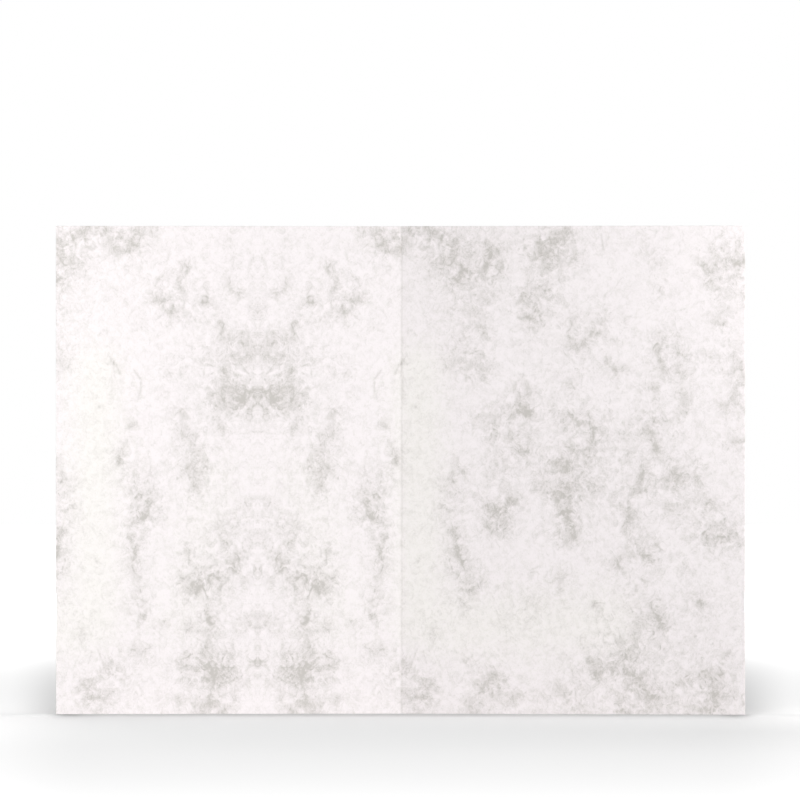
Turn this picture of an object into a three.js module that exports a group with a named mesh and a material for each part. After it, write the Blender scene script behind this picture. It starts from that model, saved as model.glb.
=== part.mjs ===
// A blank folded card, standing open on its bottom edge: one rectangular sheet of marbled card stock,
// creased down the middle into two equal leaves. The crease is a valley seen from the front, so the
// free edges of both leaves come towards the viewer and the sheet stands up by itself.
//
// Units are millimetres. +X runs to the viewer's right along the open card, +Y away from the viewer
// and +Z up. The origin is the middle of the rectangle that the card covers on the table.
import * as THREE from 'three';

// Driving dimensions
const leafWidth = 105; // from the middle of the crease to a free edge, measured along the sheet
const leafHeight = 148; // along the crease
const sheetThickness = 0.3; // caliper of the card stock
const openingAngle = THREE.MathUtils.degToRad(168); // between the two inner faces
const creaseWidth = 1.2; // strip that the creasing rule pressed, which holds all of the bend
const grooveDepth = 0.1; // of the line pressed into the inner side, which stands proud outside
const creaseSteps = 16; // straight pieces that stand for the curved strip

const leafTurn = (Math.PI - openingAngle) / 2; // how far each leaf turns towards the viewer
const bendRadius = creaseWidth / 2 / leafTurn; // of the sheet's middle layer in the crease

// The middle layer of the sheet at a distance s along it from the crease, as a place and a heading.
// The crease strip is an arc, pushed outwards by one wave of a raised cosine, which is the groove.
// Each leaf is the straight run that leaves the arc at its end.
function middleLayer(s) {
  const along = Math.min(Math.abs(s), creaseWidth / 2);
  const straight = Math.abs(s) - along;
  const turn = along / bendRadius;
  const wave = (2 * Math.PI * along) / creaseWidth;
  const groove = (grooveDepth / 2) * (1 + Math.cos(wave));
  const grooveSlope = (Math.PI * grooveDepth * Math.sin(wave)) / creaseWidth;
  const side = Math.sign(s);
  const x = bendRadius * Math.sin(turn) + straight * Math.cos(turn);
  const y = groove - bendRadius * (1 - Math.cos(turn)) - straight * Math.sin(turn);
  return { x: side * x, y, heading: -side * (turn + Math.atan(grooveSlope)) };
}

// One face of the sheet: the middle layer moved square to itself, outwards for a positive offset.
function faceLine(stations, offset) {
  return stations.map((s) => {
    const { x, y, heading } = middleLayer(s);
    return new THREE.Vector2(x - offset * Math.sin(heading), y + offset * Math.cos(heading));
  });
}

// The section in plan: free edge, leaf, crease, leaf, free edge, with both faces joined at the edges.
function sheetSection() {
  const stations = [-leafWidth];
  for (let i = 0; i <= creaseSteps; i += 1) {
    stations.push(creaseWidth * (i / creaseSteps - 0.5));
  }
  stations.push(leafWidth);
  const inner = faceLine(stations, -sheetThickness / 2);
  const outer = faceLine(stations, sheetThickness / 2);
  return new THREE.Shape([...inner, ...outer.reverse()]);
}

// Marbled card stock: warm white with a soft uncoated surface
const marbledCard = new THREE.MeshStandardMaterial({ color: 0xf2edeb, roughness: 0.9, metalness: 0 });

const sheetGeometry = new THREE.ExtrudeGeometry(sheetSection(), {
  depth: leafHeight,
  bevelEnabled: false,
});
sheetGeometry.computeBoundingBox();
const { min: low, max: high } = sheetGeometry.boundingBox;

const sheet = new THREE.Mesh(sheetGeometry, marbledCard);
sheet.name = 'card_sheet';
sheet.position.y = -(low.y + high.y) / 2;

const foldedCard = new THREE.Group();
foldedCard.add(sheet);

export default foldedCard;
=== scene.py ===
"""The looks of a blank folded card of marbled card stock, standing open on its bottom edge.

The sheet is made again here at the place and size that it has in the frame, as a fine closed shell on
the same fold, with a pressed crease, thin cut edges and leaves that bow by a hair. Lengths in
the marbling are millimetres on the flat sheet: s runs along it from the crease, to the viewer's right,
and z runs up from the bottom edge. Everything else is in metres.
"""
import math

import bpy
import numpy as np
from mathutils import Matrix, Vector


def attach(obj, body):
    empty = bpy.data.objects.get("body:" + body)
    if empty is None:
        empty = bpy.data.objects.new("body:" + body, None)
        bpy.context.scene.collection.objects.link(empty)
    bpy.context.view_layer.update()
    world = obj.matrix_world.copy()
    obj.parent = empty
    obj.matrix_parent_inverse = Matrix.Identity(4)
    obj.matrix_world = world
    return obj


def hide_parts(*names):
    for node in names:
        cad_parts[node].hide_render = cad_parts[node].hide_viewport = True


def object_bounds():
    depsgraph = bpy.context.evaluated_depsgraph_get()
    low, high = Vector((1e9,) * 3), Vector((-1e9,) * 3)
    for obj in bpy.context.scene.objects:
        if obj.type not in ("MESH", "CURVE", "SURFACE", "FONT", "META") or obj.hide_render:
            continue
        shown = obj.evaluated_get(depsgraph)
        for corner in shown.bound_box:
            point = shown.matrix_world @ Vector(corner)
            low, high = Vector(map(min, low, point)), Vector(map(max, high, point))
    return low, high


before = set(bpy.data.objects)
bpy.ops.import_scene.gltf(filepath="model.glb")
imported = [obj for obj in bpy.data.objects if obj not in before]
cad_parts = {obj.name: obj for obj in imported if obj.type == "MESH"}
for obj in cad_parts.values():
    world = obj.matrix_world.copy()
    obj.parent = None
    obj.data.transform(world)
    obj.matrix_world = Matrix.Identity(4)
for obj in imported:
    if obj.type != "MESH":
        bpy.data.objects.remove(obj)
cad_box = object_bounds()

MM = 0.001

# The sheet, as the frame has it
LEAF_WIDTH = 105.0
LEAF_HEIGHT = 148.0
THICKNESS = 0.3
OPENING_DEG = 168.0
CREASE_WIDTH = 1.2
GROOVE_DEPTH = 0.1

# The fine mesh: its steps, and the rounding of the cut edges, which has a line of points part way in
GRID_STEP = 0.7
CREASE_STEPS = 8
EDGE_ROUND = 0.05
EDGE_LINE = 0.3
# How far the leaves bow, how much of that changes up a leaf, and how far the two leaves are out of step
BOW = 0.06
BOW_SWING = 0.4
BOW_STEP = 0.8

# The camera, which looks level from a little to the right of the crease
IMAGE_PX = 800
SCALE_PX_PER_MM = 3.2975
BOTTOM_EDGE_PX = 714.0
CARD_MIDDLE_PX = 400.2
CAMERA_DISTANCE = 4.0
CAMERA_AZIMUTH_DEG = 2.0
SENSOR_MM = 36.0
CLIP_END = 100.0

# The marks of the marbling mirror themselves about a line on the left leaf, on both faces. The fine
# noise does so on the inner face only, as the outer face reads it from places further along
MIRROR_S = -43.75
OUTSIDE_SHIFT = 400.0

# Marks of the marbling: from s, z to s, z, with half the width and the strength of the mark
TOP_OF_FOLD = [
    (-11.3, 147.4, -7.5, 145.2, 1.3, .6), (-6, 145.5, -5.5, 144, 1, .5), (-2.4, 146.8, -2, 144, .7, .7),
    (-6.4, 142.4, -3.9, 140.6, .9, .75), (-3.9, 140.6, -.2, 141, .8, .7),
    (.5, 147.8, 4.3, 146.2, 1, .65), (7.5, 147.6, 10.8, 145.2, 1.2, .75),
    (12.5, 144, 12.9, 144.6, 1, 1), (4.5, 143, 6.5, 141, 1.2, .3), (16.6, 143, 15.6, 138.6, 1.2, .75),
    (18, 135.2, 17, 131.6, 1.2, 1), (10.8, 135.2, 14.5, 133.5, 1.3, .5), (11, 138, 15, 136.5, 1.5, .3),
    (7.3, 132.9, 8, 132.9, .8, .4), (21, 141.8, 21.3, 140.2, 1.1, .5),
    (20.5, 137, 22.5, 135.5, 1.5, .3), (19.1, 130.5, 24.6, 132.4, .8, .45),
    (25.8, 143.8, 27.4, 139.4, 1.1, .75), (27.6, 138.8, 25.2, 132.9, .9, .9),
    (28.6, 141.6, 29.8, 140.2, 1, .75), (30.2, 136, 30, 133, 1, .4), (21, 126.2, 26.5, 126.5, 1.2, .4),
    (25.6, 124.9, 25.8, 125.2, .8, .6), (22.3, 122.2, 24.8, 121.6, 1.1, .4),
    (15.2, 122.4, 16.4, 122, 1.2, .3), (16.2, 127.5, 16, 125.5, .9, .3),
    (22.6, 118.6, 24.6, 116.6, .7, .5), (25.2, 116, 25, 113.6, .8, .65),
    (18.1, 115.8, 18.8, 115.8, .8, .45), (15.4, 110.4, 16.4, 110.2, .9, .3),
    (14.8, 105.4, 16.8, 107.2, 1.2, .4), (15.6, 104.4, 16.6, 104.2, .8, .4),
    (20.4, 110, 23.4, 108.6, .8, .5), (25.4, 107.8, 26, 106.8, .9, .45), (25, 105, 24.6, 104, 1, .4),
    (21.6, 102.2, 24.8, 102.6, .9, .45), (23, 90.6, 26.6, 91, .7, .4), (27.5, 88.4, 27.9, 87.4, .9, .8),
    (28.4, 84.5, 28.8, 82.8, .9, .5), (30.4, 94, 31, 92.6, .9, .35), (28, 76.8, 28.6, 74.8, 1.1, .45),
    (17.9, 74.5, 18.1, 74.4, .8, .9), (.3, 106.8, .5, 106.9, .5, .7), (.6, 100.4, .8, 100.4, .8, .35),
]
LEFT_LEAF_UPPER = [
    (-34.9, 144.4, -34.9, 143.4, .7, .35), (-40.8, 137, -41.2, 134.8, .6, .35),
    (-35.2, 136.6, -36.6, 133.6, .4, .3), (-40.4, 127.9, -38.4, 128.4, .5, .6),
    (-38.4, 128.4, -35, 130, .6, .6), (-28.7, 131, -28.4, 126.6, .6, .35),
    (-28.2, 125.2, -27.4, 124.6, .8, .75), (-21.5, 137, -22.5, 134.2, .5, .75),
    (-19.8, 131.6, -20.8, 129, .8, .75), (-21, 128, -21.8, 125, .5, .35),
    (-14.2, 131.9, -13.6, 131.6, .7, .5), (-16.6, 126.4, -13.8, 126.2, 1, .8),
    (-14.4, 126, -14.6, 124.8, .8, .8), (-18.2, 122.6, -17.8, 121.6, 1.1, .95),
    (-24.6, 120.4, -22, 120.8, .9, .4), (-32.2, 118.6, -32.6, 116.4, .6, .85),
    (-33.9, 122.5, -33.5, 120, .8, .3), (-43.6, 123, -42.8, 121.6, 1, .55),
    (-42.5, 116, -40, 114.4, 1.6, .35), (-43.8, 109.8, -42, 108.6, 1.2, .6),
    (-38.8, 111.4, -37.6, 109, 1.2, .6), (-42, 112, -38, 112, 1.2, .35),
    (-35.6, 112.6, -32, 114, .6, .35), (-35.6, 108, -33.6, 104.4, 1.6, .4),
    (-35, 102.4, -33.4, 101.6, 1, .5), (-43.8, 98.4, -41.5, 98.4, 1.1, .9),
    (-40.4, 98.4, -38.4, 96.4, 1.5, .8), (-37.6, 98.6, -33.4, 98.8, 1.2, .75),
    (-43.8, 95, -39, 95.4, 1.8, .5), (-38.8, 94, -35.6, 92, 1.2, .85), (-36, 96, -32.6, 94, 1.8, .5),
    (-30.5, 96.4, -30.2, 96, .9, .95), (-31.4, 89.6, -33.2, 86, 1, .65),
    (-41.4, 91, -41.6, 84.6, .6, .3), (-35.6, 82.4, -35.8, 80.8, .7, .3),
    (-17.5, 103.8, -17.3, 103.6, .5, .6), (-6.4, 119, -6.6, 116.6, .4, .35),
    (-18.7, 92.8, -20.2, 90, .6, .45), (-20.6, 90, -22.8, 84.5, 1.6, .5),
    (-22.8, 82.4, -23.4, 81, 1, .75), (-24.4, 80, -27, 77, 1.4, .32), (-24, 75.4, -22.6, 74.6, 1.2, .8),
    (-6.8, 88.6, -5.4, 87, .6, .6), (-2.6, 79.8, -2, 78, .8, .65), (-3, 76.6, -1.6, 76.6, .7, .65),
]
RIGHT_LEAF_TOP = [
    (51.6, 147, 50.6, 144.6, 1.2, .75), (49.6, 144.6, 46, 143, 1.1, .75),
    (42.8, 142.4, 43.2, 139.6, 1.5, .95), (43.2, 139.6, 45.4, 138.2, 1.3, 1),
    (46.4, 138.4, 49.4, 136.8, 1, .8), (45.2, 136.2, 45.8, 135.6, 1, .4), (46, 141, 51, 140, 2, .35),
    (53, 139.6, 54.6, 138.8, .9, .35), (41, 128.6, 43.8, 130.4, 1, .85),
    (43.8, 127, 44.2, 126.8, .9, .95), (37, 126, 38, 125.2, 1, .6), (36.4, 124, 37, 123.4, 1, .35),
    (39.5, 127.4, 42, 126, 1.6, .4), (47.8, 126, 48.6, 125.6, .7, .45),
    (45.6, 126, 45.8, 124.8, .7, .35), (41.2, 123.2, 41.8, 122.6, .8, .35),
    (39.6, 119.8, 39.9, 119.6, 1, 1), (42, 119.2, 43.6, 118.4, 1.3, .45),
    (51.2, 117.4, 51.8, 118.6, .7, .45), (52, 119.4, 55, 121, .6, .3), (59, 119.6, 62, 119.8, 1.4, .35),
    (60.8, 118, 61.2, 117.4, .9, .6), (58.5, 115.4, 63, 115.9, .6, .7),
    (55.6, 113.8, 55, 111.8, .7, .85), (51.6, 113, 53.4, 111, 1.1, .6), (53.4, 110.6, 55, 108.6, 1, .5),
    (61.5, 110, 63, 107, .9, .4), (63, 107, 65.6, 104, 1, .5), (65.6, 104, 70.4, 103.8, .8, .35),
    (69.3, 118.4, 69.9, 117.4, .7, .35), (74.6, 144, 75, 142.6, .9, .35),
    (76.3, 141, 76.8, 139.8, .6, .3), (78.2, 136.8, 78.5, 135.8, .7, .45),
    (79.4, 128.8, 79.6, 128, .7, .6), (77.9, 128.8, 78, 128.2, .6, .35),
    (79.6, 113.6, 78.6, 110.2, .8, .8), (79.2, 109, 80.2, 106.8, .7, .5),
    (80.2, 106.8, 80.4, 103.9, .8, .85), (79, 117.2, 79.4, 115, .8, .3),
    (85.3, 117, 85.2, 113.8, .6, .35), (84.6, 110.6, 84.4, 105.4, .8, .5),
    (84.2, 105, 84.6, 103, .9, .4), (86.2, 108.4, 87, 107.6, .8, .5),
    (85.8, 103.2, 86.4, 102.4, .7, .45), (93.4, 109.6, 95.4, 105.6, .8, .35),
    (101.6, 109.2, 100.4, 103.2, .8, .6), (103.4, 106, 105, 102.6, 1.4, .7),
    (97.2, 145.8, 97.8, 144.8, .9, .35), (95, 142.4, 96, 140, .7, .5),
    (98.6, 143, 98.2, 141.6, .8, .45), (100.8, 138.2, 102.4, 137.8, 1, 1),
    (102.4, 137.8, 105, 138, 1, .9), (101, 136, 104.6, 135, 1, .5), (92.6, 136, 94.4, 134, .9, .85),
    (94.4, 134, 96, 135.8, .8, .6), (95.8, 132.2, 103.4, 131.8, .8, .5),
    (96.8, 129.6, 97.6, 129, .7, .55), (97.4, 124.6, 97.4, 121.6, .9, .45),
    (95.4, 119.4, 97.6, 118.8, .8, .7), (96.6, 118.4, 97.2, 114, .5, .35),
    (104.4, 124, 104.8, 123.2, .8, .45), (104.4, 127.8, 104.8, 127, .7, .45),
]
RIGHT_LEAF_MIDDLE = [
    (51.2, 101.2, 51.5, 100.6, .8, .85), (52.2, 99.6, 53, 97.4, .8, .3), (49.8, 98, 50.6, 97.8, .6, .4),
    (37.6, 100.4, 36, 96.4, .8, .4), (36, 96.4, 33, 92.8, 1, .55), (38.8, 98.6, 39.2, 96.6, .7, .65),
    (36.2, 92.2, 38.2, 91.6, 1.2, 1), (37.4, 91.6, 37.8, 91.4, 1.3, 1), (33.6, 90, 34.4, 89, .7, .45),
    (32.8, 86, 33.2, 84.4, .8, .45), (37.4, 82.8, 41.2, 85, .9, .4), (36.2, 79.6, 37.4, 79, 1.2, 1),
    (33, 83, 35, 80.6, 1, .35), (74.1, 100.9, 74.6, 100.4, .6, .5), (76, 99, 78, 98.8, .8, .65),
    (78, 98.6, 77.8, 95, 1, .4), (77.4, 90.2, 77.6, 88.8, .7, .75), (79.6, 89.8, 80.2, 89, .7, .65),
    (73, 88.6, 76, 85, 1, .45), (76, 85, 77.4, 82.6, 1.1, .7), (77.4, 82.6, 77.5, 79.9, 1, .95),
    (70.2, 88.6, 67.6, 83.6, 1.4, .35), (70.2, 79.8, 69, 78, .8, .6), (63, 91.6, 61.2, 88, .9, .55),
    (61.6, 86, 61.2, 81.6, .7, .35), (46, 92.2, 50.2, 87, .8, .5), (48.6, 91.4, 52, 90, .7, .5),
    (52, 90, 54, 88, .7, .55), (54, 88, 57, 88.4, .8, .65), (57, 88.4, 58.6, 86, .8, .7),
    (58.6, 86, 58, 82.4, .9, .85), (58.4, 81, 56, 79.8, 1.1, .7), (56, 80, 50.4, 80.8, 1, .5),
    (56.2, 94.6, 56, 91, .6, .3), (45.4, 77.2, 47, 77, .8, .55), (48.6, 76.4, 51.4, 74.6, 1.2, .95),
    (56, 77, 57.4, 75, 1, .45), (52.6, 78, 55, 78.6, 1.2, .4), (85.2, 97.2, 86.2, 91.4, 1.1, .5),
    (88, 96.4, 89, 93.8, .9, .5), (85.6, 88.6, 85.6, 85, .9, .35), (103.2, 99.6, 101.4, 96.6, 1, .6),
    (101, 96, 98.8, 92.8, .7, .55), (97.9, 92.8, 98.2, 91.8, .6, .45), (104, 93.6, 105, 91.6, 1.1, .6),
    (98.8, 80.4, 102.6, 82.4, .8, .45), (102.6, 82.6, 104.8, 83.6, .9, .5),
    (84, 77.8, 84.4, 75, 1.2, .45), (86.8, 77, 90, 77.6, .6, .4),
]
FOLD_LOWER = [
    (-23.8, 73, -25, 68.4, 1.4, .7), (-27, 73, -26.4, 71.4, 1, .4), (-11, 72, -10.6, 67, 1.2, .4),
    (-6.4, 72, -7.6, 66.4, 1.2, .4), (-7.6, 66, -7.2, 65.4, .7, .75), (-14.4, 66, -11.6, 63.8, .5, .4),
    (-11.4, 64, -9.9, 60.8, .8, .8), (-10.2, 60.9, -9.4, 60.1, 1.1, 1), (-9.2, 59.9, -6, 58.6, .9, .8),
    (-6, 58.6, -4.6, 57, .6, .5), (-8, 53.8, -7.6, 52.8, .7, .4), (-5.2, 54, -5.2, 52.8, .7, .45),
    (-6.7, 50.4, -6.4, 47.4, .8, .95), (-5, 50.2, -4.8, 49, .7, .4), (-6.9, 44.6, -6.9, 40.8, 1.2, .55),
    (-8.4, 37.6, -7.8, 37, .7, .5), (-9.2, 34.4, -8.2, 32, .8, .35), (-9.2, 30, -7.6, 29, 1, .7),
    (-15.4, 27.5, -12.9, 25.9, .6, .5), (-9.2, 18.8, -6.6, 18.8, 1, .6), (-7.6, 16.4, -6, 15.6, .9, .4),
    (-.3, 15.4, .2, 14.8, .8, .85), (.6, 14.4, 3.8, 11.6, .6, .5), (10.2, 25.4, 9, 22.6, 1.1, .4),
    (7.8, 9.4, 9.4, 9.8, .9, .7), (8.2, 8.6, 9.2, 8.4, .6, .5), (4.2, 4.2, 6, 5, 1, 1),
    (.8, 6.4, 3, 5.4, 1.2, .55), (1.6, 3.6, 3.4, 1.2, 1.6, .5), (6.4, 6.6, 8, 6.4, .7, .45),
    (8.2, 4.4, 8.6, 2.4, .7, .55), (-3.4, 10.2, -5, 7.4, .7, .3), (-18.4, 4.4, -20.2, 2.6, .8, .45),
    (14, 62.2, 14.4, 61.6, 1, .8), (16.2, 71.6, 16, 69.4, .9, .4), (13.4, 67.6, 14.4, 67, 1, .4),
    (15.8, 66.4, 17.2, 65.4, 1, .4), (13.4, 58.4, 15.4, 56.2, .5, .35), (15.8, 55.6, 17, 54, .9, .9),
    (16.9, 50.4, 17, 48, .9, .8), (17, 48, 18.4, 45.4, 1, .95), (18.4, 45.4, 20, 43.2, .7, .5),
    (16.2, 43.4, 16.6, 41.6, .8, .35), (18.2, 37.4, 18.9, 37.4, .8, .75),
    (20.6, 37.8, 21.4, 37.6, .8, .65), (22.6, 38, 24.4, 39.2, 1, .65), (22, 37, 23.6, 37.4, .7, .4),
    (17.8, 34, 18.6, 33, .7, .45), (19.6, 31.4, 19.6, 29, .6, .3), (26.4, 62.4, 28.2, 62, 1, .8),
    (27.6, 61.2, 29.2, 60.8, 1.1, .75), (26.4, 58.4, 27.4, 55.8, .8, .45), (27.4, 55.8, 30, 55, 1, .35),
    (30, 56, 30.6, 58, .9, .5),
]
LEFT_LEAF_LOWER = [
    (-36.8, 57.4, -36, 56.4, .9, .6), (-43.8, 54, -40.2, 52.2, .8, .5),
    (-31.6, 55.8, -33.1, 51.4, .9, .55), (-42.6, 65.4, -40.6, 63, 1.4, .3),
    (-38, 48, -36, 45.2, 1.3, .75), (-38, 45.6, -36.8, 44.2, 1, .5), (-35.9, 44, -33.4, 40, .5, .5),
    (-33.2, 39.6, -32.2, 37.6, .6, .6), (-32.2, 37.4, -31.8, 35.8, .9, .9),
    (-43.6, 43, -39.6, 40.4, .8, .5), (-22.2, 51, -22.8, 47.4, .7, .6),
    (-23.2, 47.4, -23.9, 44.2, .4, .5), (-28.4, 47.6, -26.8, 47, .7, .35),
    (-31.6, 42.2, -30.6, 41.6, .7, .75), (-29.4, 44, -27.6, 42.8, .5, .6),
    (-27.8, 42.8, -26.9, 42.4, .7, .75), (-21.7, 40.8, -21.2, 40.4, .7, .7),
    (-29.6, 40.6, -26.4, 38.8, .8, .6), (-25.8, 38.8, -24, 38.4, 1.1, .7),
    (-25.2, 37.6, -24.8, 36.6, .8, .55), (-23, 37.4, -22.2, 33.4, 1.2, .3),
    (-28.6, 30.6, -29.9, 26.6, .7, 1), (-30.4, 36, -29.4, 33.4, .8, .3), (-43.8, 27, -43, 25.6, .8, .4),
    (-28.4, 23, -28.2, 19, 1.2, .55), (-28, 19, -26.6, 15.6, 1.2, .6),
    (-26.6, 25.8, -24, 26.8, .8, .35), (-22.8, 26, -22.2, 23.4, .9, .45),
    (-22.5, 17.2, -22.1, 16.8, .5, .65), (-35.2, 20.8, -35, 18.4, .8, .5),
    (-34.4, 17.2, -33, 18, .6, .5), (-43.8, 16, -43.2, 15.8, 1, .85), (-36.6, 14, -33, 13, .8, .7),
    (-33.4, 12.8, -28.6, 13.6, 1.4, .8), (-32.6, 10.8, -31, 10.2, 1.4, 1),
    (-29.6, 11.4, -28.6, 10.8, 1.1, .95), (-28, 13.6, -22.6, 14.6, .8, .75),
    (-22, 14.8, -18.6, 15.4, .6, .4), (-37.4, 9.4, -36.4, 5.2, 1.2, .5),
    (-38.6, 12, -37.8, 10, .7, .35), (-22.6, 8.6, -22, 8, .7, .4), (-29, 7.6, -28, 4, 1.6, .35),
    (-34.2, .8, -33.4, .2, .9, .7), (-29, 2.6, -26, .4, 1.6, .75), (-33, 2, -30, 2.4, 1.4, .35),
]
RIGHT_LEAF_LOWER = [
    (31.6, 62, 31.4, 57.4, .9, .6), (31.8, 63.2, 32.8, 64.2, .9, .9), (32.8, 64.4, 35, 64.8, .9, .75),
    (41, 69.2, 42.4, 69, 1, .55), (43.4, 67.8, 47.6, 67.4, .6, .45), (47.6, 67.4, 48.8, 65.6, .6, .4),
    (48, 64.8, 50.2, 61.2, .8, .75), (50.6, 68.8, 51.2, 67.8, .9, .75), (51, 66.6, 51.2, 63, .9, .5),
    (52.6, 69.8, 54, 69, 1, .4), (43, 72.5, 58, 71, 3, .35), (50, 66, 59, 68, 2.5, .3),
    (58, 66.6, 59, 65, 1.2, .35), (50.4, 60.8, 51.4, 57.4, 1.3, 1), (51.4, 57.4, 52.6, 54.8, 1.4, 1),
    (51, 61.6, 52, 62.8, .7, .6), (50.8, 54, 51.2, 51.4, 1, .35), (73.8, 73.6, 72.4, 70, 1, .85),
    (72.4, 70, 72.2, 67.6, 1.2, .55), (83, 73.2, 83.6, 72.2, 1, .85),
    (84.4, 71.4, 85.4, 69.2, 1.2, .55), (80.4, 72, 81.4, 68.6, 1.1, .45), (82, 71, 85, 72, 1.8, .3),
    (88.6, 72, 90.8, 71.2, .7, .75), (89.4, 70, 90.8, 68.6, 1.1, .4), (65.6, 66.4, 64.8, 63.2, .5, .35),
    (68.6, 62.8, 69.2, 60, .8, .6), (69.3, 59.2, 69.4, 58.6, .9, .95), (69.2, 57.4, 68.8, 54.6, .7, .5),
    (92.4, 63.6, 94.4, 64.2, .8, .6), (95, 63.4, 97, 62, 1.2, .45), (79, 63.6, 89, 63.4, .9, .3),
    (92.8, 54.2, 93.6, 53.6, .9, .85), (95.4, 57.8, 97.4, 56.4, .9, .5), (92, 52.6, 96, 52, .8, .55),
    (96, 52, 98.6, 53.8, .9, .65), (98.6, 54, 102, 54.6, .7, .65), (102, 54.6, 103.4, 52, .7, .45),
    (103, 51.8, 105, 51.4, 1, .4), (72.4, 52.4, 73.4, 50.8, .7, .9), (72.4, 48.8, 74.4, 47.8, .8, .75),
    (74.4, 47.6, 76.4, 47.2, 1.1, 1), (76.6, 50.6, 76.8, 48.6, .7, .6), (65.7, 45.4, 66.4, 44.8, 1, .9),
    (66, 45, 66.2, 44.8, 2.2, .25), (87.6, 44.8, 88.4, 43, 1, .35), (74.8, 41.2, 75.2, 39.8, .7, .35),
    (70.4, 37.6, 71.6, 36.4, .8, .35), (39.6, 42.2, 40, 41.6, .7, .4), (49.4, 41.6, 49, 40.2, .8, .45),
    (48.8, 40, 48.2, 36, .9, .4), (40, 34.4, 40.8, 32.2, .7, .35), (58.7, 33, 59.3, 32.4, .8, .65),
    (61.2, 30.2, 61.7, 29.8, .5, .35), (76.8, 34, 76.4, 32, .7, .8), (76.2, 32.2, 78, 29, 1.1, 1),
    (78, 29, 79, 26.8, 1.2, .9), (74.4, 34, 75.8, 32.8, .6, .5), (78, 26.4, 78, 25, .9, .35),
    (90.8, 33, 92.8, 32.7, 1, 1), (91.2, 34.6, 91.4, 33.6, .7, .5), (73, 28.2, 71.4, 27, .7, .4),
    (72.8, 31, 72.8, 30, .7, .35), (31.8, 28, 33, 25.4, .7, .35), (66.6, 21.6, 68.4, 22, .9, .5),
    (67, 18, 68.4, 17.2, 1, .45), (70.4, 19.8, 71.8, 18.4, 1.1, .5), (72, 25.4, 71.6, 22, 1.1, .35),
    (58, 16.4, 60, 15, 1.4, .4), (58.8, 13, 60.2, 12.2, 1.3, .85), (60, 11.6, 60.6, 11.2, .8, .5),
    (61.5, 13.2, 66, 15.4, .6, .6), (66, 15.4, 68, 18.4, .6, .5), (68.2, 12.8, 73.4, 11.4, .8, .7),
    (70.2, 9.4, 73, 10.6, 1.2, .5), (71.8, 15.4, 72.4, 13, .9, .45), (72.6, 4.6, 75.4, 5.6, 1.3, .55),
    (75.4, 5.8, 79.6, 5.6, 1.2, .5), (74, 8.6, 77, 7, 1.8, .35), (76, 3, 77, 1.4, 1.2, .4),
    (66.6, 4, 67.4, 1.6, 1.1, .5), (67.4, 1.2, 69.2, .4, 1.3, .8), (79, 20.4, 80.6, 19.8, .8, .5),
    (80.4, 18.8, 82.6, 18.6, .7, .4), (84, 9.2, 87, 9.6, 1.2, .4), (87, 9.8, 94, 10.4, 1.1, .4),
    (88.6, 9, 89.4, 8.6, .8, .45), (94.4, 10.2, 95.6, 6.4, .8, .85), (95.6, 6.4, 96.6, 2.2, .8, .8),
    (94.6, 13.2, 97.4, 12.2, 1.3, .45), (98, 14, 99.8, 19, .7, .35), (92.8, 1.4, 94.4, 1, 1.2, .9),
    (89, .8, 91, .4, 1, .4), (98, 7.6, 100, 6, 1.5, .3), (101.4, 11, 102.4, 12, .8, .35),
    (50.2, 5.6, 51.2, 4.6, .6, .45), (47.6, 9, 49.4, 7, .5, .35), (54.2, 2.4, 54.8, 1.4, .9, .35),
    (56.6, 2.8, 57.4, 2, .9, .35), (33, 3.6, 35.4, 5.6, .8, .45), (35.4, 5.6, 38, 6.6, .7, .4),
    (31.4, 3, 32.8, 2.6, .9, .45), (26.8, 12.8, 28.4, 12.6, 1, .7), (27, 11.4, 28.2, 11.2, .9, .6),
    (26.8, 9.6, 25.8, 8.4, 1, .5), (25.8, 8.4, 24, 6.4, .9, .65), (29.9, 7.4, 30.2, 6.6, .8, .7),
    (21.6, 4.4, 22, 1.8, .9, .55), (21.8, 1.4, 23, .2, 1, .85), (17.1, 11.4, 20.1, 12.9, .5, .45),
    (20.2, 15.4, 20.6, 14.2, .6, .3),
]
MARKS = (
    TOP_OF_FOLD + LEFT_LEAF_UPPER + RIGHT_LEAF_TOP + RIGHT_LEAF_MIDDLE
    + FOLD_LOWER + LEFT_LEAF_LOWER + RIGHT_LEAF_LOWER
)
# Broad soft fields that are a little darker
HAZE = [
    (66, 14, 90, 8, 12, .12), (20, 139, 27, 136, 9, .1), (80, 60, 98, 58, 10, .08),
    (-43.8, 110, -29, 110, 4, .17), (-34, 105, -20, 105.5, 3, .09), (-43.8, 58, -37, 57, 6, .12),
    (-43.8, 28, -39, 26, 4.5, .18), (66, 71, 79, 71, 5, .12), (29, 74, 34, 71, 4, .12),
    (97, 131, 102, 131, 3.5, .17), (72, 6, 80, 4, 4.5, .1), (40, 4, 48, 5, 4, .09),
    (91, 31, 93, 23, 4.5, .1), (31, 31, 39, 31, 4, .09), (4.5, 145.5, 8, 143, 2.6, .2),
    (20, 118, 22, 104, 5, .06),
]
# The haze of each mark: its least half width, how much the mark's own half width adds to that, and its
# strength as a share of the mark's
HAZE_SPREAD = (1.4, 2.0)
HAZE_SHARE = 0.18
# Fields where the stock is more ivory than lilac
IVORY = [
    (5, 104, 6, 28, 7, .95), (18, 27, 62, 28, 9, .8), (-30, 70, -20, 30, 9, .4),
]
# Hairs in the stock: the points that each passes, and its strength
HAIRS = [
    ([(-6.2, 104.2), (-8.1, 101.6), (-8.4, 98.8), (-7.5, 95.8)], .8),
    ([(-8.9, 105.8), (-6.8, 108)], .3),
    ([(-1.9, 103.2), (-.8, 105.6), (1.2, 108.4)], .6),
    ([(61.2, 145), (61.8, 140.8)], .85),
    ([(2.6, 14), (5, 20)], .5),
]
# How far from a hair its distance is kept, and how soon it fades past its ends and to its sides
HAIR_REACH = 3.0
HAIR_END_FADE = 0.6
HAIR_SIDE_FADE = 2.0
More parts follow.
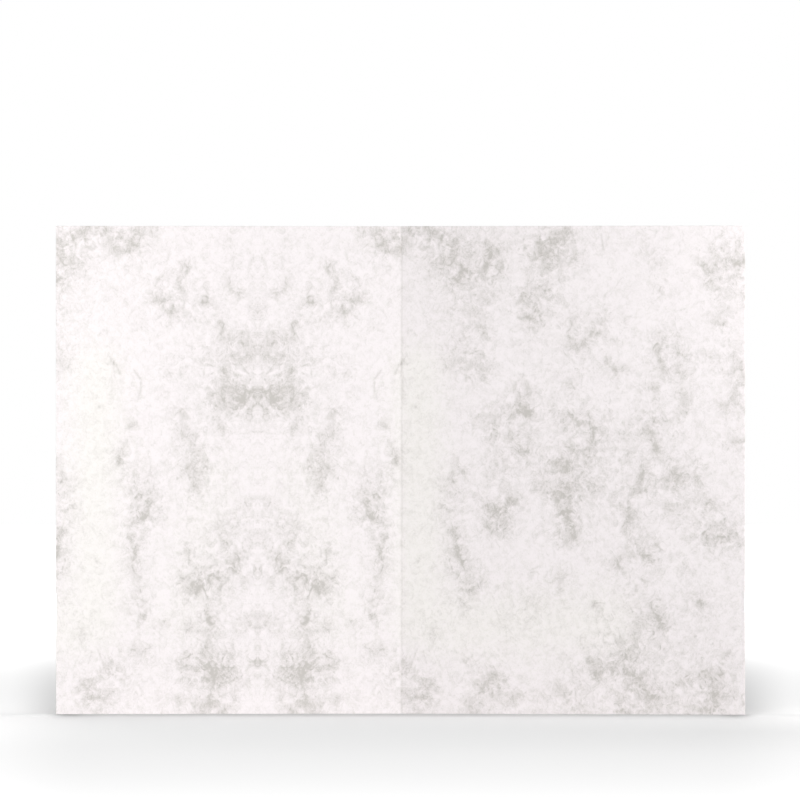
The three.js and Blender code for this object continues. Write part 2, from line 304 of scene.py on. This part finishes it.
# How marks and soft fields fall off, and how many half widths away they are left out
MARK_POWER = 2.2
SOFT_POWER = 2.0
FIELD_REACH = 3.0
# The waves that bend the outlines of the marks
WARP_SEED = 11
WARP_HEIGHT = 0.45
WARP_LENGTH = 9.0
WARP_SHRINK = 0.72
WARP_COUNT = 6
# The shortest stroke, which keeps a mark that is a point from dividing by zero
SHORTEST = 1e-6


def middle_layer(s):
    """The sheet's middle layer, at distances s along it from the crease, as x, y and a heading.

    The crease strip is an arc with a raised cosine pushed outwards on it, which is the pressed groove.
    Each leaf is the straight run that leaves the arc at its end.
    """
    leaf_turn = (math.pi - math.radians(OPENING_DEG)) / 2
    bend_radius = CREASE_WIDTH / 2 / leaf_turn
    along = np.minimum(np.abs(s), CREASE_WIDTH / 2)
    straight = np.abs(s) - along
    turn = along / bend_radius
    wave = 2 * math.pi * along / CREASE_WIDTH
    groove = GROOVE_DEPTH / 2 * (1 + np.cos(wave))
    groove_slope = math.pi * GROOVE_DEPTH * np.sin(wave) / CREASE_WIDTH
    x = bend_radius * np.sin(turn) + straight * np.cos(turn)
    y = groove - bend_radius * (1 - np.cos(turn)) - straight * np.sin(turn)
    heading = -np.sign(s) * (turn + np.arctan(groove_slope))
    return np.sign(s) * x, y, heading


def leaf_bow(s, z):
    """How far the leaves bow out of their planes: half a wave across each, times a slow wave up it."""
    across = np.sin(math.pi * np.clip(np.abs(s) / LEAF_WIDTH, 0, 1))
    wave = np.cos(2 * math.pi * z / LEAF_HEIGHT + BOW_STEP * np.sign(s))
    return BOW * across * (1 - BOW_SWING + BOW_SWING * wave)


def half_thickness(s, z):
    """Half the sheet's thickness, which drops by a quarter circle along each cut edge."""
    inset = np.minimum(LEAF_WIDTH - np.abs(s), np.minimum(z, LEAF_HEIGHT - z))
    rest = 1 - np.clip(inset / EDGE_ROUND, 0, 1)
    return THICKNESS / 2 - EDGE_ROUND + EDGE_ROUND * np.sqrt(1 - rest * rest)


def stations(length, first):
    """Places along one way of the grid: two close ones inside each cut edge, and even steps between."""
    steps = 2 * round((length - first) / GRID_STEP / 2)
    inner = np.linspace(first, length - EDGE_ROUND, steps + 1)
    return np.concatenate([inner, [length - EDGE_LINE * EDGE_ROUND, length]])


def along_sheet():
    """The grid's places along the sheet: fine in the crease strip, even in the leaves, odd in number."""
    crease = CREASE_WIDTH / 2
    leaf = stations(LEAF_WIDTH, crease)
    strip = np.linspace(-crease, crease, 2 * CREASE_STEPS + 1)
    return np.concatenate([-leaf[:0:-1], strip, leaf[1:]])


def up_sheet():
    """The grid's places up the sheet, from the bottom edge to the top one, odd in number."""
    half = stations(LEAF_HEIGHT / 2, 0)
    return LEAF_HEIGHT / 2 + np.concatenate([-half[:0:-1], half])


def face_points(s, z, side, shift):
    """One face as x, y and z in metres: the middle layer moved square to itself, outwards for side 1."""
    x, y, heading = middle_layer(s)
    offset = side * half_thickness(s, z) + leaf_bow(s, z)
    x_moved = x - offset * np.sin(heading)
    y_moved = y + offset * np.cos(heading) + shift
    return np.stack([x_moved, y_moved, z], axis=-1) * MM


def smooth_waves(s, z, generator):
    """A gentle displacement: a sum of sines of random heading and phase, each shorter and lower."""
    total = np.zeros_like(s)
    for i in range(WARP_COUNT):
        wavelength = WARP_LENGTH * WARP_SHRINK ** i
        heading, phase = generator.uniform(0, 2 * math.pi, 2)
        travel = s * math.cos(heading) + z * math.sin(heading)
        height = WARP_HEIGHT * wavelength / WARP_LENGTH
        total += height * np.sin(2 * math.pi * travel / wavelength + phase)
    return total


def stroke_distance(s, z, start_s, start_z, end_s, end_z):
    """Each point's distance from a straight stroke: to its nearest place on the line, kept to the ends."""
    run_s = end_s - start_s
    run_z = end_z - start_z
    length = max(math.hypot(run_s, run_z), SHORTEST)
    share = np.clip(((s - start_s) * run_s + (z - start_z) * run_z) / length ** 2, 0, 1)
    return np.hypot(s - start_s - share * run_s, z - start_z - share * run_z)


def haze_marks():
    """The haze that surrounds the marks: each mark again, wider and fainter, and the broad fields."""
    least, gain = HAZE_SPREAD
    wide = [(*ends, least + gain * half_width, HAZE_SHARE * strength)
            for *ends, half_width, strength in MARKS]
    return wide + HAZE


def field(s, z, marks, power):
    """How strongly marks cover each point: one minus the product of what each mark lets through.

    A mark covers half its strength at its own half width, and falls off as two to minus a power.
    """
    clear = np.ones_like(s)
    for start_s, start_z, end_s, end_z, half_width, strength in marks:
        reach = FIELD_REACH * half_width
        near = (s > min(start_s, end_s) - reach) & (s < max(start_s, end_s) + reach)
        near &= (z > min(start_z, end_z) - reach) & (z < max(start_z, end_z) + reach)
        distance = stroke_distance(s[near], z[near], start_s, start_z, end_s, end_z)
        clear[near] *= 1 - strength * 0.5 ** ((distance / half_width) ** power)
    return 1 - clear


def hair_fields(s, z):
    """For hairs: each point's signed distance to the nearest hair and that hair's strength there."""
    offset = np.full_like(s, HAIR_REACH)
    strength = np.zeros_like(s)
    for points, hair_strength in HAIRS:
        for (start_s, start_z), (end_s, end_z) in zip(points, points[1:]):
            distance = stroke_distance(s, z, start_s, start_z, end_s, end_z)
            run = math.hypot(end_s - start_s, end_z - start_z)
            signed = (end_s - start_s) * (z - start_z) - (end_z - start_z) * (s - start_s)
            signed = signed / run
            beyond = np.sqrt(np.maximum(distance ** 2 - signed ** 2, 0))
            nearer = (distance < np.abs(offset)) & (distance < HAIR_REACH)
            offset[nearer] = signed[nearer]
            end_fade = np.clip(1 - beyond / min(HAIR_END_FADE, run), 0, 1)
            side_fade = np.clip(HAIR_SIDE_FADE - distance, 0, 1)
            strength[nearer] = hair_strength * (end_fade * side_fade)[nearer]
    return offset, strength


def grid_faces(rows, columns, first, flip):
    """Quads of a grid of rows by columns of vertices that start at index first."""
    corner = first + np.arange(rows - 1)[:, None] * columns + np.arange(columns - 1)[None, :]
    above = corner + columns
    quads = np.stack([corner, corner + 1, above + 1, above], axis=-1).reshape(-1, 4)
    return (quads[:, ::-1] if flip else quads).tolist()


def border(rows, columns, first):
    """The indices around a grid's border, once round, against the clock seen with rows going up."""
    index = first + np.arange(rows * columns).reshape(rows, columns)
    return np.concatenate([index[0, :-1], index[:-1, -1], index[-1, :0:-1], index[:0:-1, 0]])


def set_attribute(mesh, name, kind, values):
    """Stores one value or vector for each vertex."""
    attribute = mesh.attributes.new(name, kind, "POINT")
    key = "vector" if kind == "FLOAT_VECTOR" else "value"
    attribute.data.foreach_set(key, np.asarray(values, np.float32).ravel())


def make_sheet():
    """The card sheet as one closed shell.

    The inner face is the fine grid, the outer face has every second line of it, and a strip of
    five-sided faces joins the two round the cut edges.
    """
    s_lines = along_sheet()
    z_lines = up_sheet()
    section_y = middle_layer(s_lines)[1]
    shift = -(section_y.min() + section_y.max()) / 2
    s_in, z_in = np.meshgrid(s_lines, z_lines)
    s_out, z_out = np.meshgrid(s_lines[::2], z_lines[::2])
    inner = face_points(s_in, z_in, -1, shift)
    outer = face_points(s_out, z_out, 1, shift)
    rows_in, columns_in = s_in.shape
    rows_out, columns_out = s_out.shape
    count_in = rows_in * columns_in
    rim_in = border(rows_in, columns_in, 0)
    rim_out = border(rows_out, columns_out, count_in)
    after_in = np.roll(rim_in, -1)
    next_in = np.roll(rim_in, -2)
    next_out = np.roll(rim_out, -1)
    strip = np.stack([rim_in[::2], rim_out, next_out, next_in[::2], after_in[::2]], axis=-1)
    faces = grid_faces(rows_in, columns_in, 0, False)
    faces += grid_faces(rows_out, columns_out, count_in, True)
    faces += strip.tolist()
    mesh = bpy.data.meshes.new("folded_card_sheet")
    vertices = np.concatenate([inner.reshape(-1, 3), outer.reshape(-1, 3)])
    mesh.from_pydata(vertices.tolist(), [], faces)
    mesh.polygons.foreach_set("use_smooth", np.arange(len(faces)) < len(faces) - len(strip))

    # Both faces have the marks that mirror themselves, turned half a turn on the outer face
    s_turned = np.concatenate([s_in.ravel(), -s_out.ravel()])
    s_pattern = MIRROR_S + np.abs(s_turned - MIRROR_S)
    z_pattern = np.concatenate([z_in.ravel(), LEAF_HEIGHT - z_out.ravel()])
    generator = np.random.default_rng(WARP_SEED)
    warped_s = s_pattern + smooth_waves(s_pattern, z_pattern, generator)
    warped_z = z_pattern + smooth_waves(s_pattern, z_pattern, generator)
    offset, hair_strength = hair_fields(s_pattern, z_pattern)
    s_own = np.concatenate([s_in.ravel(), s_out.ravel() + OUTSIDE_SHIFT])
    z_own = np.concatenate([z_in.ravel(), z_out.ravel()])
    place = np.stack([s_own, z_own, 0 * s_own], axis=-1)
    fields = {
        "marks": field(warped_s, warped_z, MARKS, MARK_POWER),
        "haze": field(warped_s, warped_z, haze_marks(), SOFT_POWER),
        "ivory": field(s_pattern, z_pattern, IVORY, SOFT_POWER),
        "hair_offset": offset,
        "hair_strength": hair_strength,
    }
    set_attribute(mesh, "sheet_mm", "FLOAT_VECTOR", place)
    for name, values in fields.items():
        set_attribute(mesh, name, "FLOAT", values)
    mesh.validate()
    card = bpy.data.objects.new("folded_card_sheet", mesh)
    bpy.context.scene.collection.objects.link(card)
    return card


class Wire:
    """A shader socket that takes part in Python expressions, each of which adds its Math nodes."""

    def __init__(self, shader, socket):
        self.shader = shader
        self.socket = socket

    def maths(self, operation, *values):
        inputs = dict(enumerate(values))
        return self.shader.node("ShaderNodeMath", {"operation": operation}, inputs)

    def __add__(self, other):
        return self.maths("ADD", self, other)

    def __radd__(self, other):
        return self.maths("ADD", other, self)

    def __sub__(self, other):
        return self.maths("SUBTRACT", self, other)

    def __rsub__(self, other):
        return self.maths("SUBTRACT", other, self)

    def __mul__(self, other):
        return self.maths("MULTIPLY", self, other)

    def __rmul__(self, other):
        return self.maths("MULTIPLY", other, self)

    def __truediv__(self, other):
        return self.maths("DIVIDE", self, other)

    def __pow__(self, other):
        return self.maths("POWER", self, other)

    def __rpow__(self, other):
        return self.maths("POWER", other, self)

    def __abs__(self):
        return self.maths("ABSOLUTE", self)

    def at_least(self, other):
        return self.maths("MAXIMUM", self, other)

    def bell(self, width):
        """Two to minus the square of this over the width: one at zero and a half at the width."""
        share = self / width
        return 0.5 ** (share * share)


class Shader:
    """A material's or the world's node tree, filled through one method."""

    def __init__(self, owner):
        owner.use_nodes = True
        self.tree = owner.node_tree
        self.tree.nodes.clear()

    def node(self, kind, settings, inputs, output=0):
        made = self.tree.nodes.new(kind)
        for name, value in settings.items():
            setattr(made, name, value)
        for key, value in inputs.items():
            if isinstance(value, Wire):
                self.tree.links.new(value.socket, made.inputs[key])
            else:
                made.inputs[key].default_value = value
        return Wire(self, made.outputs[output]) if made.outputs else None

    def noise(self, place, scale, detail, roughness, distortion=0.0):
        inputs = {
            "Vector": place, "Scale": scale, "Detail": detail, "Roughness": roughness,
            "Distortion": distortion,
        }
        return self.node("ShaderNodeTexNoise", {}, inputs)

    def attribute(self, name, output=2):
        return self.node("ShaderNodeAttribute", {"attribute_name": name}, {}, output)

    def split(self, vector):
        first = self.node("ShaderNodeSeparateXYZ", {}, {0: vector})
        return [Wire(self, socket) for socket in first.socket.node.outputs]

    def ray(self, name):
        """One where the light path is of the named kind, and zero elsewhere."""
        return self.node("ShaderNodeLightPath", {}, {}, name)

    def vector(self, x, y, z):
        return self.node("ShaderNodeCombineXYZ", {}, {0: x, 1: y, 2: z})

    def blend(self, factor, first, second):
        settings = {"data_type": "RGBA", "clamp_factor": True}
        return self.node("ShaderNodeMix", settings, {0: factor, 6: first, 7: second}, 2)

    def ramp(self, value, low, high):
        """A smooth step from 0 where value is low to 1 where it is high."""
        settings = {"interpolation_type": "SMOOTHSTEP"}
        return self.node("ShaderNodeMapRange", settings, {0: value, 1: low, 2: high, 3: 0.0, 4: 1.0})


def srgb(red, green, blue):
    """A colour given as it shows on a screen, 0 to 255, in the linear values that a shader takes."""
    shares = [channel / 255 for channel in (red, green, blue)]
    linear = [c / 12.92 if c <= 0.04045 else ((c + 0.055) / 1.055) ** 2.4 for c in shares]
    return (*linear, 1.0)


LILAC_WHITE = srgb(251, 245.5, 246.4)
IVORY_WHITE = srgb(251, 247.8, 244.4)
MARK_GREY = srgb(203, 199, 194.6)

# Places that noise is read at: how much the pattern narrows along the sheet, and which slice it takes
PLACES = {"plain": (1.0, 0.0), "upright": (1.25, 7.0), "streaked": (1.6, 19.0)}
# Noises in the stock: the place, scale, detail, roughness and distortion of each
NOISES = {
    "clouds": ("plain", 0.05, 2.0, 0.5, 0.0),
    "wisps": ("plain", 0.3, 4.0, 0.7, 1.2),
    "curls": ("upright", 0.36, 3.0, 0.58, 1.5),
    "flecks": ("upright", 1.4, 2.0, 0.7, 0.6),
    "grain": ("upright", 2.8, 2.0, 0.8, 0.0),
    "contours": ("streaked", 0.36, 3.0, 0.6, 1.8),
}
# Tufts are the square of the curls above zero, times this
TUFT_GAIN = 12.0
# How much each noise breaks up the marks, the haze and the bare paper, and tints it
MARK_NOISE = {"curls": 0.8, "tufts": 1.3, "flecks": 0.9, "wisps": 1.0}
HAZE_NOISE = {"wisps": 3.4, "curls": 1.2, "tufts": 1.6}
PAPER_NOISE = {"curls": 1.25, "tufts": 0.75, "flecks": 1.25, "grain": 1.0}
TINT_NOISE = {"flecks": 1.2, "wisps": 1.2}
# Darkness of a mark and its gain towards the middle, and of the haze, the wisps and the bare paper
MARK_DARK = 0.3
MARK_GAIN = 1.5
HAZE_DARK = 0.72
HAZE_CLOUDS = 0.12
WISP_DARK = 0.42
PAPER_DARK = 0.08
# Share of the paper's noise that shows on bare paper, and what haze and marks add to it
COVER = (0.4, 0.25, 0.2)
# Veins run where a noise is near zero and the wisps are strong: half width, wisps, darkness, with haze
VEIN_HALF_WIDTH = 0.035
VEIN_WISPS = (-0.04, 0.12)
VEIN_DARK = (0.16, 0.8)
# Half width and darkness of a hair, and half width and strength of the painted shade along the crease
HAIR_HALF_WIDTH = 0.28
HAIR_DARK = 0.6
CREASE_SHADE_HALF_WIDTH = 0.33
CREASE_PAINTED_SHADE = 0.23
# How soon the darkest places stop getting darker
DARK_LIMIT = 0.25
# The stock's tooth, as scale, detail and roughness of its noise, and its bump's strength and depth
TOOTH = (4.5, 3.0, 0.65)
TOOTH_BUMP = 0.12
TOOTH_DEPTH = 0.00006
# The stock's roughness and how much the flecks change it, and its specular level
ROUGHNESS = (0.9, 0.1)
SPECULAR_LEVEL = 0.25


def stock_noises(shader, s, z):
    """The noises in the stock, each centred on zero, on places that mirror themselves with the marks."""
    across = MIRROR_S + abs(s - MIRROR_S)
    places = {name: shader.vector(across * narrowed, z, slice_at)
              for name, (narrowed, slice_at) in PLACES.items()}
    noises = {name: shader.noise(places[place], *settings) - 0.5
              for name, (place, *settings) in NOISES.items()}
    noises["tufts"] = TUFT_GAIN * noises["curls"].at_least(0.0) ** 2
    return noises, shader.noise(places["plain"], *TOOTH)


def weighed(noises, weights):
    """The sum of some noises, each times its weight."""
    total = 0.0
    for name, weight in weights.items():
        total = weight * noises[name] + total
    return total


def marbling_and_crease_shade(shader, s, noises):
    """How dark the marbling is, with a shade painted along the crease: marks, haze, wisps, texture, veins,
    hairs and the crease's painted shade, in sum.
    """
    marks = shader.attribute("marks")
    haze = shader.attribute("haze") + HAZE_CLOUDS * noises["clouds"]
    core = MARK_DARK * marks * (1 + MARK_GAIN * marks)
    body = core * (1 + weighed(noises, MARK_NOISE))
    cloud = haze * (HAZE_DARK + weighed(noises, HAZE_NOISE))
    plain = WISP_DARK * noises["wisps"] + PAPER_DARK
    bare, with_haze, with_marks = COVER
    cover = bare + with_haze * haze + with_marks * marks
    texture = cover * weighed(noises, PAPER_NOISE)
    veins = noises["contours"].bell(VEIN_HALF_WIDTH) * shader.ramp(noises["wisps"], *VEIN_WISPS)
    threads = veins * (VEIN_DARK[0] + VEIN_DARK[1] * haze)
    hairs = shader.attribute("hair_strength") * shader.attribute("hair_offset").bell(HAIR_HALF_WIDTH)
    # Painted shade along the crease line of the inner face, which stands in for the shade in the groove
    crease = abs(s).bell(CREASE_SHADE_HALF_WIDTH)
    total = body + cloud + plain + texture + threads + HAIR_DARK * hairs + CREASE_PAINTED_SHADE * crease
    total = total.at_least(0.0)
    return total / (1 + DARK_LIMIT * total)


def card_stock():
    """Uncoated marbled card stock: a warm white sheet with soft grey wisps, clumps, specks and hairs."""
    material = bpy.data.materials.new("marbled_card_stock")
    shader = Shader(material)
    s, z, _ = shader.split(shader.attribute("sheet_mm", 1))
    noises, tooth = stock_noises(shader, s, z)
    warmth = shader.attribute("ivory") + weighed(noises, TINT_NOISE)
    paper = shader.blend(warmth, LILAC_WHITE, IVORY_WHITE)
    colour = shader.blend(marbling_and_crease_shade(shader, s, noises), paper, MARK_GREY)
    bump = shader.node("ShaderNodeBump", {}, {
        "Strength": TOOTH_BUMP, "Distance": TOOTH_DEPTH, "Height": tooth,
    })
    roughness = ROUGHNESS[0] + ROUGHNESS[1] * noises["flecks"]
    surface = shader.node("ShaderNodeBsdfPrincipled", {}, {
        "Base Color": colour, "Roughness": roughness, "Normal": bump,
        "Specular IOR Level": SPECULAR_LEVEL,
    })
    shader.node("ShaderNodeOutputMaterial", {}, {"Surface": surface})
    return material


# The floor: half its width, its colour, its own glow, and the glow added between two distances
FLOOR_HALF = 6.0
FLOOR_ALBEDO = 0.8
FLOOR_GLOW = 0.65
FAR_GLOW = 0.6
FAR_RAMP = (0.5, 2.5)
CARD_HALF_WIDTH = 0.1045
# Painted shade on the floor, as strength, the distance from the card at which it has halved, and the
# places beside the card where it starts and ends to fade, counted outwards from the card's side edge.
# The values started from a least-squares fit to the floor in the photograph and were then changed.
# The shade near the card is stronger by CORNER_GAIN at the ends of its bottom edge, and the
# front shade gives way to the back one between the two places of FRONT_TO_BACK
FRONT_SHADES = [(0.24, 0.22, 0.2, 1.5), (0.11, 1.1, -0.01, 0.03)]
CONTACT_SHADE = (0.35, 0.031, -0.004, 0.005)
CORNER_GAIN = 0.45
CORNER_ZONE = (-0.01, -0.004)
FRONT_TO_BACK = (-0.004, 0.004)
BACK_SHADES = [(0.12, 1.5, 0.2, 1.5), (0.42, 0.75, -0.01, 0.0165), (0.09, 0.09, -0.005, 0.03)]


def painted_shade(shader, away, aside, parts):
    """The sum of some shades: each a bell of the distance from the card, faded beside the card."""
    total = 0.0
    for strength, reach, inner, outer in parts:
        total = strength * away.bell(reach) * (1 - shader.ramp(aside, inner, outer)) + total
    return total


def floor_finish():
    """A pale floor, white where the camera sees it bare, that keeps shadows and a soft shade of its own.

    The shade lies before and behind the card, and is a little stronger under the two corners. Its sides
    run past the card's side edges along lines of sight from the place of the scene's own camera. They
    are fixed numbers on the floor, so they stay where they are when another camera looks at it.
    """
    material = bpy.data.materials.new("pale_floor")
    shader = Shader(material)
    place = shader.node("ShaderNodeTexCoord", {}, {}, "Object")
    x, y, _ = shader.split(place)
    slant = math.tan(math.radians(CAMERA_AZIMUTH_DEG))
    spread = abs(x + slant * y) / (1 + y / CAMERA_DISTANCE)
    aside = spread - CARD_HALF_WIDTH
    before = (-1 * y).at_least(0.0)
    behind = y.at_least(0.0)
    corners = 1 + CORNER_GAIN * shader.ramp(aside, *CORNER_ZONE)
    front = painted_shade(shader, before, aside, FRONT_SHADES)
    front = front + corners * painted_shade(shader, before, aside, [CONTACT_SHADE])
    back = painted_shade(shader, behind, aside, BACK_SHADES)
    is_behind = shader.ramp(y, *FRONT_TO_BACK)
    shade = back * is_behind + front * (1 - is_behind)
    distance = shader.node("ShaderNodeVectorMath", {"operation": "LENGTH"}, {0: place}, "Value")
    far = shader.ramp(distance, *FAR_RAMP)
    glow = (FLOOR_GLOW + FAR_GLOW * far - shade) * shader.ray("Is Camera Ray")
    light = shader.node("ShaderNodeEmission", {}, {"Color": glow, "Strength": 1.0})
    paint = shader.node("ShaderNodeBsdfDiffuse", {}, {"Color": (FLOOR_ALBEDO,) * 3 + (1,)})
    both = shader.node("ShaderNodeAddShader", {}, {0: paint, 1: light})
    shader.node("ShaderNodeOutputMaterial", {}, {"Surface": both})
    return material


def make_floor():
    """A large square floor at the height of the card's bottom edge."""
    turns = [(-1, -1), (1, -1), (1, 1), (-1, 1)]
    corners = [(FLOOR_HALF * x, FLOOR_HALF * y, 0) for x, y in turns]
    mesh = bpy.data.meshes.new("floor")
    mesh.from_pydata(corners, [], [(0, 1, 2, 3)])
    floor = bpy.data.objects.new("floor", mesh)
    bpy.context.scene.collection.objects.link(floor)
    floor.data.materials.append(floor_finish())


# Strength of the light from all round
WORLD_LIGHT = 0.25


def make_world():
    """Even light from all round, which the camera, glossy and clear surfaces see as plain white."""
    world = bpy.data.worlds.new("white_room")
    bpy.context.scene.world = world
    shader = Shader(world)
    seen = shader.ray("Is Camera Ray")
    for kind in ("Is Glossy Ray", "Is Transmission Ray"):
        seen = seen.at_least(shader.ray(kind))
    strength = WORLD_LIGHT + (1 - WORLD_LIGHT) * seen
    white = (1, 1, 1, 1)
    background = shader.node("ShaderNodeBackground", {}, {"Color": white, "Strength": strength})
    shader.node("ShaderNodeOutputWorld", {}, {"Surface": background})


# Lamps: name, azimuth from the viewer's side, elevation, distance, size and light on a facing surface.
# The first five levels were made by another program, a least-squares fit to the light on the card in
# the photograph, and then rounded, the front one after it was lowered a little. The places of those
# lamps, and the light from all round, were picked with the help of fits of that kind
LAMPS = [
    ("front", 0, 5, 2.5, 0.8, 0.41),
    ("far_right", 80, 5, 2.5, 0.5, 0.39),
    ("left_low", -55, 5, 0.4, 0.14, 0.17),
    ("left_near", -50, 24, 0.22, 0.1, 0.07),
    ("right_near", 65, 22, 0.22, 0.1, 0.18),
    ("back", 185, 14, 2.5, 0.8, 0.45),
]


def make_lamp(name, azimuth, elevation, distance, size, level):
    """A square soft lamp that faces the card's middle and gives the stated level on a facing surface."""
    light = bpy.data.lights.new(name, "AREA")
    light.shape = "SQUARE"
    light.size = size
    light.energy = level * (math.pi * distance) ** 2
    lamp = bpy.data.objects.new(name, light)
    turn = math.radians(azimuth)
    rise = math.radians(elevation)
    flat = distance * math.cos(rise)
    aim = Vector((0, 0, LEAF_HEIGHT * MM / 2))
    height = distance * math.sin(rise)
    lamp.location = aim + Vector((flat * math.sin(turn), -flat * math.cos(turn), height))
    lamp.rotation_euler = (aim - lamp.location).to_track_quat("-Z", "Y").to_euler()
    lamp.visible_camera = False
    bpy.context.scene.collection.objects.link(lamp)


def make_camera():
    """A level camera with a long lens, a little to the right of the crease."""
    camera_data = bpy.data.cameras.new("camera")
    field_width = IMAGE_PX / SCALE_PX_PER_MM * MM
    camera_data.sensor_width = SENSOR_MM
    camera_data.lens = SENSOR_MM * CAMERA_DISTANCE / field_width
    camera_data.clip_end = CLIP_END
    camera = bpy.data.objects.new("camera", camera_data)
    height = (BOTTOM_EDGE_PX - IMAGE_PX / 2) / SCALE_PX_PER_MM * MM
    aside = (IMAGE_PX / 2 - CARD_MIDDLE_PX) / SCALE_PX_PER_MM * MM
    turn = math.radians(CAMERA_AZIMUTH_DEG)
    depth = Vector((math.sin(turn), -math.cos(turn), 0))
    right = Vector((math.cos(turn), math.sin(turn), 0))
    edge_slip = cad_box[0][1] * math.sin(turn)
    camera.location = depth * CAMERA_DISTANCE + right * (aside + edge_slip) + Vector((0, 0, height))
    camera.rotation_euler = (-depth).to_track_quat("-Z", "Y").to_euler()
    bpy.context.scene.collection.objects.link(camera)
    bpy.context.scene.camera = camera


make_camera()
card = make_sheet()
card.data.materials.append(card_stock())
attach(card, "root")
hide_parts("card_sheet")
make_floor()
make_world()
for lamp in LAMPS:
    make_lamp(*lamp)

bpy.context.scene.view_settings.view_transform = "Standard"
